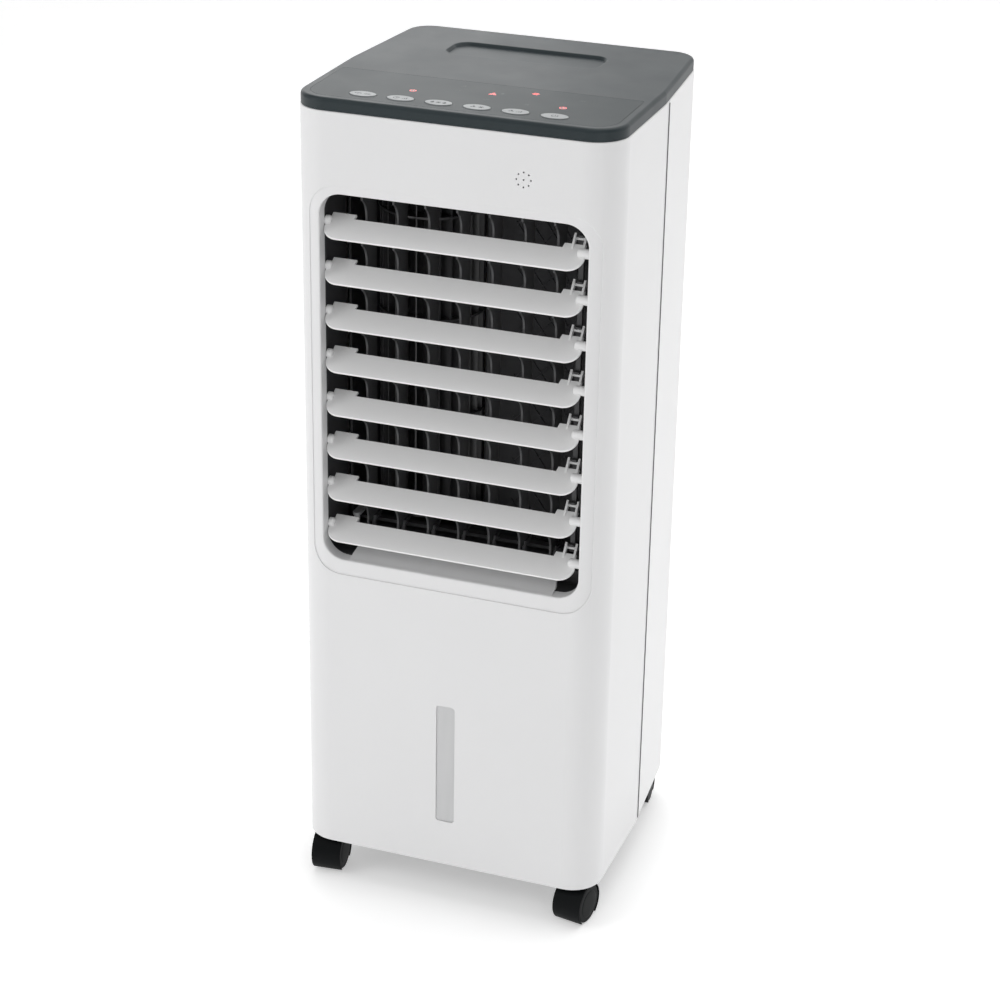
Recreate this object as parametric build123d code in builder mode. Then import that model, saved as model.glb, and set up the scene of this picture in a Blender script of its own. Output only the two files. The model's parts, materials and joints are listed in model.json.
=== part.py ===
from build123d import *
from math import cos, radians, sin, sqrt
import os

# Tower evaporative cooler on four casters. Millimetres, +Z up, front face towards -Y.
# Origin: centre of the footprint, on the floor.

os.makedirs("parts", exist_ok=True)

# ---- driving dimensions -------------------------------------------------------------
width = 275.0                # casing across the front
depth = 252.0                # casing front to back
rear_width = 255.4           # casing across the back, after the taper behind the seam
body_bottom = 38.0           # underside of the casing above the floor
shell_top = 712.6            # top edge of the white casing
height = 723.0               # top of the dark cover
wall = 2.5                   # moulded wall thickness
front_radius = 28.0          # plan radius of the front corners
rear_radius = 22.0           # plan radius of the rear corners
seam_y = 10.0                # vertical seam between front and rear casing
seam_gap = 1.0
casing_edge = 1.0            # rounding of the casing's bottom and top edges
half_width = width / 2
half_depth = depth / 2
front_y = -half_depth
rear_y = half_depth

# air outlet
outlet_centre_x = 0.9
outlet_half = 114.1
outlet_bottom = 320.4
outlet_top = 644.8
outlet_radius = 19.0
bezel_half = 123.8           # flat band round the opening
bezel_centre_x = 1.5
bezel_top = 652.0
bezel_foot = 306.8
bezel_radius = 26.0
bezel_depth = 0.9
bezel_edge = 0.5             # rounding of the step round the band
opening_edge = 1.2           # rounding where the band turns into the opening
flange_depth = 12.4
flange_wall = 2.2
flange_root = 0.2            # overlap of that wall with the front wall

# water level window and sounder holes
window_x = -0.3
window_z = 139.6
window_width = 16.8
window_height = 115.0
window_radius = 3.0
window_edge = 0.6            # rounding of the slot's front edge
window_recess = 1.0          # the window sits this far behind the front face
sounder_x = 60.8
sounder_z = 676.5
sounder_ring = 6.0
sounder_hole = 0.8

# horizontal louvres
louvre_count = 8
louvre_pitch = 38.6
louvre_centre_x = -2.1
louvre_pivot_y = -110.5
louvre_top_z = 617.4
louvre_tilt = 32.0           # front edge down, at rest
blade_half = 110.6
blade_front = 17.8           # pivot to front edge, along the chord
blade_rear = 4.2             # pivot to rear edge, along the chord
blade_thickness = 2.2
blade_drop = 0.5             # top face of the blade below the pivot axis
blade_radius = 13.0
blade_edge = 0.8             # rounding of the blade's front and side edges
tab_rear = 9.0               # pivot to rear edge of the raised tabs
crank_radius = 14.5          # pivot to link pin
crank_pin_radius = 1.2
ear_positions = (97.7, 106.9)
ear_thickness = 1.8
pivot_radius = 2.0
boss_radius = 4.0
boss_edge = 2.4              # rounding of the inner end of each pivot boss
# distances from the louvre's middle: inner end of the boss, outer end, end of the pin
louvre_bosses = ((-105.9, -110.8, -113.8), (103.8, 116.8, 119.8))
running_fit = 0.05           # radial clearance of the small pins

# vertical vanes
vane_count = 7
vane_pitch = 27.5
vane_centre_x = -3.2
vane_pivot_y = -78.0
vane_front = -101.0
vane_rear = -72.0
vane_bottom = 342.0
vane_top = 646.5
vane_thickness = 1.8
scallop_radius = 19.0        # round each louvre pivot
vane_crank = 10.0            # pivot to link pin
vane_pin_radius = 1.5
vane_pin_length = 6.0        # of the crank pin, downwards
vane_collar_radius = 3.2
vane_collar_height = 3.0
vane_lug_width = 4.4
vane_lug_height = 2.6
swing_x = vane_centre_x - vane_pitch * 3 - 16.0

# outlet frame
frame_half = 114.9
frame_wall = 2.4
frame_front = front_y + flange_depth + 0.2
frame_rear = -66.0
frame_floor = 331.0
frame_floor_top = 333.5
frame_top = 647.5
frame_foot = 321.0
frame_floor_front = -96.0
frame_lip = 8.0              # the lip reaches this far out at the sides
frame_lip_thickness = 2.0

# fan
fan_x = -56.0
fan_y = -18.0
fan_radius = 46.0
fan_bottom = 342.0
fan_top = 650.0
fan_rings = (432.0, 522.0, 612.0)
fan_blades = 28
deck_low = 326.0
deck_high = 656.0
deck_thickness = 3.0
deck_front = -62.0
deck_rear = 76.0

# back of the casing
grille_half = 103.0
grille_bottom = 232.0
grille_top = 688.0
tank_half = 90.0
tank_bottom = 46.0
tank_top = 212.0
tank_front = -118.0
tank_rear = 121.0
tank_wall = 2.4
tank_opening_half = 92.4
tank_opening_bottom = 44.0
tank_opening_top = 214.0
recess_depth = 2.1           # the tank's face sits this far inside the casing's back

# control panel
key_count = 6
key_pitch = 32.1
key_centre_x = -2.9
key_y = -103.3
key_length = 22.4
key_width = 13.8
key_clearance = 0.35
overlay_inset = 8.5
overlay_rear = -35.0
overlay_thickness = 0.8
overlay_corner = 3.0         # plan radius of its two rear corners
overlay_fit = 0.25
icon_places = ((-50.5, -78.1), (11.6, -62.4), (43.0, -48.9), (75.7, -78.4))
icon_radius = 2.8

# casters
caster_x_front = 117.0
caster_x_rear = 108.0
caster_wheel_y = 106.8
wheel_radius = 17.5
wheel_width = 10.5
caster_trail = 12.0
hood_radius = 19.4
hood_inner = 18.1
hood_half = 13.4
hood_skirt = 14.0            # the hood ends this far below the axle
hood_edge = 0.8
web_half = 2.0
axle_radius = 2.5
wheel_gap = 0.5              # between each wheel and the middle web
wheel_edge = 1.4
neck_top = 37.0
stem_radius = 4.0
# node suffix, wheel centre x, wheel centre y, turn of the wheel axle about +Z
casters = (
    ("front_left", -caster_x_front, -caster_wheel_y, 6.0),
    ("front_right", caster_x_front, -caster_wheel_y, -10.0),
    ("rear_left", -caster_x_rear, caster_wheel_y, 170.0),
    ("rear_right", caster_x_rear, caster_wheel_y, 186.0),
)


def finish(piece, name):
    """Label one piece and write its STEP file."""
    piece.part.label = name
    export_step(piece.part, f"parts/{name}.step")


def body_plan(inset=0.0):
    """Outline of the casing seen from above, pulled in by inset."""
    with BuildSketch() as plan:
        with BuildLine():
            Polyline(
                (-half_width, front_y),
                (half_width, front_y),
                (half_width, 0),
                (rear_width / 2, rear_y),
                (-rear_width / 2, rear_y),
                (-half_width, 0),
                close=True,
            )
        make_face()
        fillet(plan.vertices().group_by(Axis.Y)[0], front_radius)
        fillet(plan.vertices().group_by(Axis.Y)[-1], rear_radius)
        if inset:
            offset(amount=-inset, kind=Kind.ARC)
    return plan.sketch


def overlay_plan(inset, rear):
    """Outline of the control overlay: the casing's front part, cut off straight at the rear."""
    with BuildSketch() as plan:
        add(body_plan(inset))
        with Locations((0, rear)):
            Rectangle(width, depth, align=(Align.CENTER, Align.MIN), mode=Mode.SUBTRACT)
        fillet(plan.vertices().group_by(Axis.Y)[-1], overlay_corner)
    return plan.sketch


def on_blade_rim(edge, blade_plane):
    """True for the long edges at the front and sides of a louvre blade, not its rear."""
    across = blade_plane.to_local_coords(edge.center()).Y
    return edge.length > 2 * blade_thickness and across < blade_rear - 0.1


def pivot_boss(plane, inner, outer):
    """Short cylinder along the pivot axis of a louvre, rounded at its inner end."""
    with BuildPart() as boss:
        with BuildSketch(plane.offset(inner)):
            Circle(boss_radius)
        extrude(amount=outer - inner)
        fillet(boss.edges().filter_by(GeomType.CIRCLE).sort_by_distance(plane.origin)[0], boss_edge)
    return boss.part


def in_front_wall(edge):
    """True for the edges of the opening at the front face, not those further back."""
    return edge.position_at(0.5).Y < front_y + wall


def lies_on(edge, outline, plane):
    """True if the middle of an edge, dropped square onto a plane, lies on an outline there."""
    middle = plane.to_local_coords(edge.position_at(0.5))
    foot = plane.from_local_coords(Vector(middle.X, middle.Y, 0))
    return outline.distance_to(Vertex(*foot)) < 0.01


def caster_stem(wheel_x, wheel_y, turn):
    """Swivel axis of a caster, trail ahead of its wheel centre."""
    back = radians(turn - 90)
    return wheel_x - caster_trail * cos(back), wheel_y - caster_trail * sin(back)


plan_outer = body_plan()
plan_inner = body_plan(wall)
plan_cover = body_plan(0.6)
plan_cover_inner = body_plan(0.6 + wall)
plan_overlay = overlay_plan(overlay_inset, overlay_rear)
plan_overlay_seat = overlay_plan(overlay_inset - overlay_fit, overlay_rear + overlay_fit)
plan_pan = body_plan(wall + 0.3)
plan_pan_inner = body_plan(wall + 2.3)
plan_deck = body_plan(wall + 0.4)

casing_height = shell_top - body_bottom
louvre_heights = [louvre_top_z - louvre_pitch * i for i in range(louvre_count)]
vane_places = [vane_centre_x + vane_pitch * (i - (vane_count - 1) / 2) for i in range(vane_count)]
key_places = [key_centre_x + key_pitch * (i - (key_count - 1) / 2) for i in range(key_count)]
base_screws_front = ((-125.0, -72.0), (125.0, -72.0), (-125.0, -18.0), (125.0, -18.0))
base_screws_rear = ((-122.0, 42.0), (122.0, 42.0), (-119.0, 76.0), (119.0, 76.0))
screw_boss_base = 44.0
screw_boss_radius = 4.2
screw_boss_height = 18.0
screw_radius = 1.9
screw_length = 14.0

# ---- casing -------------------------------------------------------------------------
front_plane = Plane(origin=(0, front_y, 0), x_dir=(1, 0, 0), z_dir=(0, -1, 0))

with BuildSketch(front_plane) as outlet_opening:
    with Locations((outlet_centre_x, (outlet_top + outlet_bottom) / 2)):
        RectangleRounded(2 * outlet_half, outlet_top - outlet_bottom, outlet_radius)

# shallow band round the outlet, which follows the rounded corners of the casing
with BuildPart() as bezel_recess:
    with BuildSketch(front_plane.offset(1)):
        with Locations((bezel_centre_x, (bezel_top + bezel_foot) / 2)):
            RectangleRounded(2 * bezel_half, bezel_top - bezel_foot, bezel_radius)
    extrude(amount=-front_radius)
    with BuildSketch(Plane.XY.offset(body_bottom)):
        add(body_plan(bezel_depth))
    extrude(amount=casing_height, mode=Mode.SUBTRACT)

with BuildPart() as front_shell:
    with BuildSketch(Plane.XY.offset(body_bottom)):
        add(plan_outer)
    extrude(amount=casing_height)
    layers = front_shell.edges().group_by(Axis.Z)
    fillet(layers[0] + layers[-1], casing_edge)
    add(bezel_recess.part, mode=Mode.SUBTRACT)
    step = [e for e in front_shell.edges(Select.LAST) if lies_on(e, plan_outer.wire(), Plane.XY)]
    fillet(step, bezel_edge)
    with BuildSketch(Plane.XY.offset(body_bottom)):
        add(plan_inner)
    extrude(amount=casing_height, mode=Mode.SUBTRACT)
    # everything behind the seam belongs to the rear shell
    with Locations((0, seam_y - seam_gap / 2, body_bottom)):
        Box(width + 10, depth, casing_height, align=(Align.CENTER, Align.MIN, Align.MIN),
            mode=Mode.SUBTRACT)
    # wall that runs back from the edge of the opening, starting inside the front wall
    with BuildSketch(front_plane.offset(flange_root - wall)):
        with Locations((outlet_centre_x, (outlet_top + outlet_bottom) / 2)):
            RectangleRounded(2 * (outlet_half + flange_wall),
                             outlet_top - outlet_bottom + 2 * flange_wall,
                             outlet_radius + flange_wall)
    extrude(amount=-(flange_depth - wall + flange_root))
    with BuildSketch(front_plane):
        add(outlet_opening.sketch)
    extrude(amount=-flange_depth - 1, mode=Mode.SUBTRACT)
    opening_line = outlet_opening.sketch.face().outer_wire()
    rim = [e for e in front_shell.edges(Select.LAST).filter_by(in_front_wall)
           if lies_on(e, opening_line, front_plane)]
    fillet(rim, opening_edge)
    # slot of the water level window
    with BuildSketch(front_plane):
        with Locations((window_x, window_z)):
            RectangleRounded(window_width, window_height, window_radius)
    extrude(amount=-wall - 1, mode=Mode.SUBTRACT)
    fillet(front_shell.edges(Select.LAST).group_by(Axis.Y)[0], window_edge)
    # sounder holes: a ring of eight and one in the middle
    with BuildSketch(front_plane):
        with Locations((sounder_x, sounder_z)):
            Circle(sounder_hole)
            with PolarLocations(sounder_ring, 8):
                Circle(sounder_hole)
    extrude(amount=-wall - 1, mode=Mode.SUBTRACT)
    # screw bosses, each tied to the wall by a rib
    for x, y in base_screws_front:
        side = 1 if x > 0 else -1
        with Locations((x, y, screw_boss_base)):
            Cylinder(screw_boss_radius, screw_boss_height,
                     align=(Align.CENTER, Align.CENTER, Align.MIN))
        with Locations((x + side * 6.5, y, screw_boss_base)):
            Box(9, 2, screw_boss_height, align=(Align.CENTER, Align.CENTER, Align.MIN))
        with Locations((x, y, screw_boss_base)):
            Cylinder(screw_radius, screw_length,
                     align=(Align.CENTER, Align.CENTER, Align.MIN), mode=Mode.SUBTRACT)
finish(front_shell, "front_shell")

rear_plane = Plane(origin=(0, rear_y, 0), x_dir=(-1, 0, 0), z_dir=(0, 1, 0))
gland_x = 100.0
gland_z = 72.0
gland_flange = 7.0           # radius of the gland's flange
gland_neck = 5.4
cord_radius = 3.4
latch_z = 223.0
latch_recess_half = 30.0
latch_bar_depth = 4.0        # behind the wall

with BuildPart() as rear_shell:
    with BuildSketch(Plane.XY.offset(body_bottom)):
        add(plan_outer)
    extrude(amount=casing_height)
    layers = rear_shell.edges().group_by(Axis.Z)
    fillet(layers[0] + layers[-1], casing_edge)
    with BuildSketch(Plane.XY.offset(body_bottom)):
        add(plan_inner)
    extrude(amount=casing_height, mode=Mode.SUBTRACT)
    with Locations((0, seam_y + seam_gap / 2, body_bottom)):
        Box(width + 10, depth, casing_height, align=(Align.CENTER, Align.MAX, Align.MIN),
            mode=Mode.SUBTRACT)
    # openings for the filter cassette and for the water tank
    with BuildSketch(rear_plane):
        with Locations((0, (grille_top + grille_bottom) / 2)):
            RectangleRounded(2 * grille_half, grille_top - grille_bottom, 8)
        with Locations((0, (tank_opening_top + tank_opening_bottom) / 2)):
            RectangleRounded(2 * tank_opening_half, tank_opening_top - tank_opening_bottom, 6)
    extrude(amount=-wall - 1, mode=Mode.SUBTRACT)
    # thicker bar behind the tank latch, with a shallow recess for it
    with Locations((0, rear_y - wall, latch_z)):
        Box(2 * latch_recess_half + 8, latch_bar_depth, 17,
            align=(Align.CENTER, Align.MAX, Align.CENTER))
    with Locations((0, rear_y, latch_z - 1)):
        Box(2 * latch_recess_half, 2 * recess_depth, 20, mode=Mode.SUBTRACT)
    with BuildSketch(rear_plane):
        with Locations((0, latch_z)):
            Circle(pivot_radius + running_fit)
    extrude(amount=-10, mode=Mode.SUBTRACT)
    # seat of the cord gland
    with BuildSketch(rear_plane.offset(-wall)):
        with Locations((-gland_x, gland_z)):
            Circle(gland_flange + 0.6)
    extrude(amount=-5.5)
    with BuildSketch(rear_plane):
        with Locations((-gland_x, gland_z)):
            Circle(gland_flange)
    extrude(amount=-2.0, mode=Mode.SUBTRACT)
    with BuildSketch(rear_plane):
        with Locations((-gland_x, gland_z)):
            Circle(gland_neck)
    extrude(amount=-9, mode=Mode.SUBTRACT)
    for x, y in base_screws_rear:
        side = 1 if x > 0 else -1
        with Locations((x, y, screw_boss_base)):
            Cylinder(screw_boss_radius, screw_boss_height,
                     align=(Align.CENTER, Align.CENTER, Align.MIN))
        with Locations((x + side * 6.8, y, screw_boss_base)):
            Box(9, 2, screw_boss_height, align=(Align.CENTER, Align.CENTER, Align.MIN))
        with Locations((x, y, screw_boss_base)):
            Cylinder(screw_radius, screw_length,
                     align=(Align.CENTER, Align.CENTER, Align.MIN), mode=Mode.SUBTRACT)
finish(rear_shell, "rear_shell")

# rubber bush that grips the supply cord
with BuildPart() as cord_gland:
    with BuildSketch(rear_plane.offset(-0.1)):
        with Locations((-gland_x, gland_z)):
            Circle(gland_flange - 0.1)
    extrude(amount=-1.9)
    with BuildSketch(rear_plane.offset(-2.0)):
        with Locations((-gland_x, gland_z)):
            Circle(gland_neck)
    extrude(amount=-11.0)
    with BuildSketch(rear_plane):
        with Locations((-gland_x, gland_z)):
            Circle(cord_radius)
    extrude(amount=-14, mode=Mode.SUBTRACT)
finish(cord_gland, "cord_gland")

pan_thickness = 3.0
pan_rim = 5.5                # height of the upturned rim
socket_radius = 7.5
socket_height = 26.0
head_radius = 3.6            # screw heads

with BuildPart() as base_pan:
    with BuildSketch(Plane.XY.offset(body_bottom)):
        add(plan_pan)
    extrude(amount=pan_thickness)
    # upturned rim inside the casing
    with BuildSketch(Plane.XY.offset(body_bottom)):
        add(plan_pan)
        add(plan_pan_inner, mode=Mode.SUBTRACT)
    extrude(amount=pan_rim)
    # the tank slides over the low back edge
    with Locations((0, rear_y - 6, body_bottom + pan_thickness)):
        Box(2 * tank_opening_half, 12, 10, align=(Align.CENTER, Align.CENTER, Align.MIN),
            mode=Mode.SUBTRACT)
    # runners under the tank
    for x in (-60.0, 60.0):
        with Locations((x, 0, body_bottom + pan_thickness)):
            Box(6, 220, tank_bottom - 0.35 - body_bottom - pan_thickness,
                align=(Align.CENTER, Align.CENTER, Align.MIN))
    # caster sockets
    for name, wheel_x, wheel_y, turn in casters:
        stem_x, stem_y = caster_stem(wheel_x, wheel_y, turn)
        with Locations((stem_x, stem_y, body_bottom)):
            Cylinder(socket_radius, socket_height,
                     align=(Align.CENTER, Align.CENTER, Align.MIN))
            Cylinder(stem_radius + running_fit, 23,
                     align=(Align.CENTER, Align.CENTER, Align.MIN), mode=Mode.SUBTRACT)
    for x, y in base_screws_front + base_screws_rear:
        with Locations((x, y, body_bottom)):
            Cylinder(5.2, screw_boss_base - body_bottom,
                     align=(Align.CENTER, Align.CENTER, Align.MIN))
            Cylinder(head_radius + 0.4, 2.8, align=(Align.CENTER, Align.CENTER, Align.MIN),
                     mode=Mode.SUBTRACT)
            Cylinder(screw_radius + 0.3, 10, align=(Align.CENTER, Align.CENTER, Align.MIN),
                     mode=Mode.SUBTRACT)
finish(base_pan, "base_pan")

# one group of eight identical screws, heads sunk into the base
with BuildPart() as base_screws:
    for x, y in base_screws_front + base_screws_rear:
        with Locations((x, y, body_bottom + 0.3)):
            Cylinder(head_radius, 2.4, align=(Align.CENTER, Align.CENTER, Align.MIN))
            Cylinder(screw_radius, 16, align=(Align.CENTER, Align.CENTER, Align.MIN))
            Box(4.2, 0.8, 2, mode=Mode.SUBTRACT)
            Box(0.8, 4.2, 2, mode=Mode.SUBTRACT)
finish(base_screws, "base_screws")

# ---- top cover and control panel ----------------------------------------------------
cover_bottom = shell_top + 0.3
plate_bottom = height - wall
cover_edge = 3.2             # rounding of the cover's top edge
tray_centre_x = -4.0
tray_centre_y = 61.5
tray_length = 136.0
tray_width = 42.0
tray_depth = 2.6
tray_slope = 40.0            # lean of the tray's sides from upright
tray_floor = 1.8             # thickness under the tray
tray_radius = 13.0
tray_edge = 1.6
board_top = 704.6

with BuildPart() as top_cover:
    with BuildSketch(Plane.XY.offset(cover_bottom)):
        add(plan_cover)
    extrude(amount=height - cover_bottom)
    fillet(top_cover.faces().sort_by(Axis.Z)[-1].edges(), cover_edge)
    with BuildSketch(Plane.XY.offset(cover_bottom)):
        add(plan_cover_inner)
    extrude(amount=plate_bottom - cover_bottom, mode=Mode.SUBTRACT)
    # tray for the remote control
    with BuildSketch(Plane.XY.offset(height - tray_depth - tray_floor)):
        with Locations((tray_centre_x, tray_centre_y)):
            RectangleRounded(tray_length + 4, tray_width + 4, tray_radius + 1)
    extrude(until=Until.NEXT)
    with BuildSketch(Plane.XY.offset(height)):
        with Locations((tray_centre_x, tray_centre_y)):
            RectangleRounded(tray_length, tray_width, tray_radius)
    extrude(amount=-tray_depth, taper=tray_slope, mode=Mode.SUBTRACT)
    fillet(top_cover.edges(Select.LAST).group_by(Axis.Z)[-1], tray_edge)
    # seat of the control overlay
    with BuildSketch(Plane.XY.offset(height)):
        add(plan_overlay_seat)
    extrude(amount=-overlay_thickness, mode=Mode.SUBTRACT)
    # key holes and light pipe holes
    with BuildSketch(Plane.XY.offset(height)):
        for x in key_places:
            with Locations((x, key_y)):
                Ellipse(key_length / 2 + key_clearance, key_width / 2 + key_clearance)
        with Locations(*icon_places):
            Circle(icon_radius)
    extrude(amount=-wall - 1, mode=Mode.SUBTRACT)
    # posts that carry the circuit board
    with Locations((-108, -60, plate_bottom), (102, -60, plate_bottom)):
        Cylinder(3, plate_bottom - board_top, align=(Align.CENTER, Align.CENTER, Align.MAX))
finish(top_cover, "top_cover")

with BuildPart() as control_overlay:
    with BuildSketch(Plane.XY.offset(height - overlay_thickness)):
        add(plan_overlay)
        for x in key_places:
            with Locations((x, key_y)):
                Ellipse(key_length / 2 + key_clearance, key_width / 2 + key_clearance,
                        mode=Mode.SUBTRACT)
        with Locations(*icon_places):
            Circle(icon_radius, mode=Mode.SUBTRACT)
    extrude(amount=overlay_thickness)
finish(control_overlay, "control_overlay")

with BuildPart() as indicator_lenses:
    with BuildSketch(Plane.XY.offset(height - 6)):
        with Locations(*icon_places):
            Circle(icon_radius - 0.1)
    extrude(amount=6)
finish(indicator_lenses, "indicator_lenses")

switch_top = 709.0
key_travel = 0.6

with BuildPart() as control_board:
    with Locations((-3, -80, board_top)):
        Box(216, 66, 1.6, align=(Align.CENTER, Align.CENTER, Align.MAX))
    for x in key_places:
        with Locations((x, key_y, board_top)):
            Box(6, 6, switch_top - board_top, align=(Align.CENTER, Align.CENTER, Align.MIN))
    for x, y in icon_places:
        with Locations((x, y, board_top)):
            Cylinder(1.5, 5, align=(Align.CENTER, Align.CENTER, Align.MIN))
finish(control_board, "control_board")

key_top = height + 0.5
key_flange_top = plate_bottom - 0.3
key_flange = 1.6             # width of the flange under the cover

for number, x in enumerate(key_places, start=1):
    with BuildPart() as key:
        with BuildSketch(Plane.XY.offset(key_flange_top)):
            with Locations((x, key_y)):
                Ellipse(key_length / 2 + key_flange, key_width / 2 + key_flange)
        extrude(amount=-2.0)
        with BuildSketch(Plane.XY.offset(key_flange_top)):
            with Locations((x, key_y)):
                Ellipse(key_length / 2, key_width / 2)
        extrude(amount=key_top - key_flange_top)
        fillet(key.faces().sort_by(Axis.Z)[-1].edges(), 0.35)
        with Locations((x, key_y, key_flange_top - 1)):
            Cylinder(2.5, key_flange_top - 1 - (switch_top + key_travel + 0.2),
                     align=(Align.CENTER, Align.CENTER, Align.MAX))
    finish(key, f"key_{number}")

# dished disc behind the holes
with BuildPart() as sounder:
    with BuildSketch(front_plane.offset(-wall - 0.2)):
        with Locations((sounder_x, sounder_z)):
            Circle(10.5)
    extrude(amount=-6)
    with BuildSketch(front_plane.offset(-wall - 0.2)):
        with Locations((sounder_x, sounder_z)):
            Circle(8.5)
    extrude(amount=-1.5, mode=Mode.SUBTRACT)
finish(sounder, "sounder")

with BuildPart() as water_window:
    with BuildSketch(front_plane.offset(-window_recess)):
        with Locations((window_x, window_z)):
            RectangleRounded(window_width - 0.4, window_height - 0.4, window_radius - 0.2)
    extrude(amount=-(wall - window_recess))
    # flange behind the wall
    with BuildSketch(front_plane.offset(-wall)):
        with Locations((window_x, window_z)):
            RectangleRounded(window_width + 5, window_height + 6, window_radius + 1)
    extrude(amount=-1.6)
finish(water_window, "water_window")

# ---- air outlet ---------------------------------------------------------------------
with BuildPart() as outlet_frame:
    frame_centre = Plane(origin=(outlet_centre_x, frame_front, 0), x_dir=(1, 0, 0),
                         z_dir=(0, -1, 0))
    with BuildSketch(frame_centre):
        with Locations((0, (frame_foot + frame_top) / 2)):
            Rectangle(2 * (frame_half + frame_wall), frame_top - frame_foot + 2 * frame_wall)
            Rectangle(2 * frame_half, frame_top - frame_foot, mode=Mode.SUBTRACT)
    extrude(amount=-(frame_rear - frame_front))
    # lip screwed against the front casing
    with BuildSketch(frame_centre):
        with Locations((0, (frame_foot + frame_top) / 2)):
            Rectangle(2 * (frame_half + frame_lip), frame_top - frame_foot + 1.5 * frame_lip)
            Rectangle(2 * frame_half, frame_top - frame_foot, mode=Mode.SUBTRACT)
    extrude(amount=-frame_lip_thickness)
    # floor that carries the lower vane pivots
    with Locations((outlet_centre_x, frame_floor_front, frame_floor)):
        Box(2 * frame_half, frame_rear - frame_floor_front, frame_floor_top - frame_floor,
            align=(Align.CENTER, Align.MIN, Align.MIN))
    # clear the swing motor below the floor, and close the step with an upright
    with Locations((outlet_centre_x, frame_floor_front, frame_floor)):
        Box(2 * frame_half + 40, 60, 40, align=(Align.CENTER, Align.MIN, Align.MAX),
            mode=Mode.SUBTRACT)
        Box(2 * (frame_half + frame_wall), frame_lip_thickness, frame_floor - frame_foot + frame_wall,
            align=(Align.CENTER, Align.MIN, Align.MAX))
    # louvre pivot holes through both sides
    for z in louvre_heights:
        with Locations((outlet_centre_x, louvre_pivot_y, z)):
            Cylinder(pivot_radius + running_fit, 2 * frame_half + 20, rotation=(0, 90, 0),
                     mode=Mode.SUBTRACT)
    # vane pivot holes in floor and ceiling
    for x in vane_places:
        with Locations((x, vane_pivot_y, 490)):
            Cylinder(pivot_radius + running_fit, 400, mode=Mode.SUBTRACT)
    with Locations((swing_x, vane_pivot_y, frame_floor)):
        Cylinder(4, 12, mode=Mode.SUBTRACT)
finish(outlet_frame, "outlet_frame")

sill_thickness = 2.2
sill_half_front = 92.0       # half length at the front edge
sill_half_back = 86.0
sill_cut_half = 110.0
sill_front = (frame_front + 0.2, outlet_bottom + 0.8)
sill_back = (frame_floor_front - 0.3, frame_floor_top - 0.4)

with BuildPart() as outlet_sill:
    with BuildSketch(Plane.YZ):
        with BuildLine():
            Polyline(
                sill_front,
                sill_back,
                (sill_back[0], sill_back[1] - sill_thickness),
                (sill_front[0] + 2.0, sill_front[1]),
                close=True,
            )
        make_face()
    extrude(amount=sill_half_front, both=True)
    # slanted ends, wider at the foot
    for side in (-1, 1):
        with BuildSketch(Plane.XZ.offset(200)):
            with BuildLine():
                Polyline(
                    (side * sill_half_front + outlet_centre_x, sill_front[1] - 1),
                    (side * sill_half_back + outlet_centre_x, sill_back[1] + 1),
                    (side * sill_cut_half + outlet_centre_x, sill_back[1] + 1),
                    (side * sill_cut_half + outlet_centre_x, sill_front[1] - 1),
                    close=True,
                )
            make_face()
        extrude(amount=-400, mode=Mode.SUBTRACT)
finish(outlet_sill, "outlet_sill")

tilt = radians(louvre_tilt)

for number, z in enumerate(louvre_heights, start=1):
    pivot = (louvre_centre_x, louvre_pivot_y, z)
    blade_plane = Plane(origin=pivot, x_dir=(1, 0, 0), z_dir=(0, -sin(tilt), cos(tilt)))
    side_plane = Plane(origin=pivot, x_dir=(0, cos(tilt), sin(tilt)), z_dir=(1, 0, 0))
    bosses = [pivot_boss(side_plane, inner, outer) for inner, outer, pin_end in louvre_bosses]
    with BuildPart() as louvre:
        with BuildSketch(blade_plane.offset(-blade_drop - blade_thickness)) as blade:
            with Locations((0, -blade_front)):
                Rectangle(2 * blade_half, blade_front + blade_rear,
                          align=(Align.CENTER, Align.MIN))
            fillet(blade.vertices().group_by(Axis.Y)[0], blade_radius)
        extrude(amount=blade_thickness)
        fillet([e for e in louvre.edges() if on_blade_rim(e, blade_plane)], blade_edge)
        # raised rear tabs at both ends
        with BuildSketch(blade_plane.offset(-blade_drop - blade_thickness)):
            with BuildLine():
                Polyline((-108.2, 0), (-107.9, tab_rear), (-87.4, tab_rear), (-88.6, 0), close=True)
            make_face()
            with BuildLine():
                Polyline((89.0, 0), (90.4, tab_rear), (108.6, tab_rear), (108.6, 0), close=True)
            make_face()
        extrude(amount=blade_thickness)
        # pointed ears that hold the crank pin
        for x in ear_positions:
            with BuildSketch(side_plane.offset(x - ear_thickness / 2)):
                with BuildLine():
                    Polyline(
                        (2.0, -blade_drop - blade_thickness),
                        (tab_rear, -blade_drop - blade_thickness),
                        (crank_radius + 1.6, -1.8),
                        (crank_radius + 2.6, 3.6),
                        (crank_radius - 1.5, 2.4),
                        (4.0, -blade_drop),
                        (2.0, -blade_drop),
                        close=True,
                    )
                make_face()
            extrude(amount=ear_thickness)
        with BuildSketch(side_plane.offset(ear_positions[0])):
            with Locations((crank_radius, 0)):
                Circle(crank_pin_radius)
        extrude(amount=ear_positions[1] - ear_positions[0])
        # pivot bosses, with round inner ends, and their pins
        for boss, (boss_inner, boss_outer, pin_end) in zip(bosses, louvre_bosses):
            add(boss)
            with BuildSketch(side_plane.offset(boss_outer)):
                Circle(pivot_radius)
            extrude(amount=pin_end - boss_outer)
    finish(louvre, f"louvre_{number}")

# bar behind the louvres that hooks round every crank pin
link_x = louvre_centre_x + sum(ear_positions) / 2
link_half = 2.0
hook_radius = 3.0
crank_y = crank_radius * cos(tilt)
crank_z = crank_radius * sin(tilt)
pin_y = louvre_pivot_y + crank_y

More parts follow.
